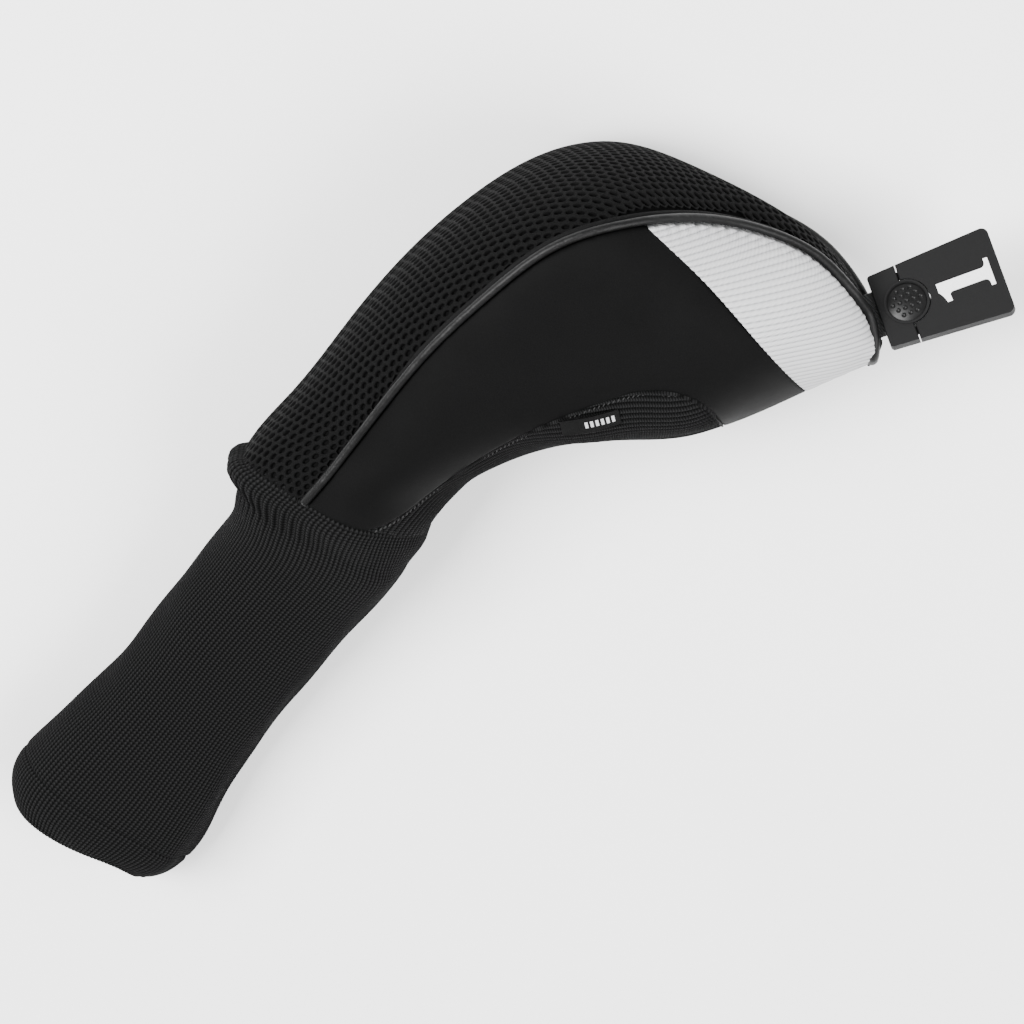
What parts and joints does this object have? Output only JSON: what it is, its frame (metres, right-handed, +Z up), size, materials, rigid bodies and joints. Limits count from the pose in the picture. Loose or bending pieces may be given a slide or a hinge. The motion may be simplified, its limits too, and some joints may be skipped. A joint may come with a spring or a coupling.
{
  "type": "driver head cover",
  "caption": "Long-neck soft head cover for a golf driver, with mesh back, neoprene sides, knit sock and a pull-off number tag.",
  "frame": {"origin": "on the floor, under the middle of the cover's box, as it lies on its side", "axes": "+X along the knit sock from its mouth to the head pocket, +Z up out of the left flank, +Y towards the mesh back"},
  "size_m": [0.4626, 0.2132, 0.1185],
  "materials": {
    "knit": "black ribbed acrylic knit, matt",
    "elastic": "woven elastic band",
    "neoprene": "black jersey-faced neoprene, matt and smooth",
    "ribbed_cloth": "white corded cloth, fine ribs 3 mm apart",
    "air_mesh": "black three-layer air mesh with oval holes 5 mm apart",
    "piping": "black coated-cloth piping, satin",
    "fleece": "dark brushed fleece lining",
    "label": "black woven damask label with a plain stripe pattern",
    "strap": "black coated webbing",
    "tag_plastic": "charcoal moulded plastic, fine spark grain",
    "button_plastic": "black moulded plastic, satin gloss",
    "spring_wire": "spring steel",
    "numeral_white": "white painted inlay"
  },
  "bodies": {
    "cover": {"knit_sock": "knit", "cuff_hem": "knit", "neck_elastic": "elastic", "knit_gusset": "knit", "side_panel_left": "neoprene", "side_panel_right": "neoprene", "nose_panel_left": "ribbed_cloth", "nose_panel_right": "ribbed_cloth", "mesh_panel": "air_mesh", "piping": "piping", "lining_left": "fleece", "lining_right": "fleece", "lining_top": "fleece", "woven_label": "label", "tag_strap": "strap"},
    "tag": {"tag_base": "tag_plastic", "tag_back": "tag_plastic", "button_spring": "spring_wire", "latch_spring": "spring_wire"},
    "button": {"tag_button": "button_plastic"},
    "plate": {"number_plate": "tag_plastic", "numeral": "numeral_white"}
  },
  "joints": [
    {"name": "tag_swing", "type": "hinge", "parent": "cover", "child": "tag", "pos_m": [0.17648, -0.06412, 0.06223], "axis": [0.4256, 0.6999, -0.5736], "range_deg": [-25, 25], "stiffness_Nm_per_rad": 0.2, "deforming": ["tag_strap"]},
    {"name": "button_press", "type": "slide", "parent": "tag", "child": "button", "axis": [-0.298, -0.4901, -0.8192], "range_m": [0, 0.001], "stiffness_N_per_m": 2000, "deforming": ["button_spring", "latch_spring"]},
    {"name": "tag_slide", "type": "slide", "parent": "tag", "child": "plate", "axis": [0.8545, -0.5195, 0], "range_m": [0, 0.03]}
  ]
}
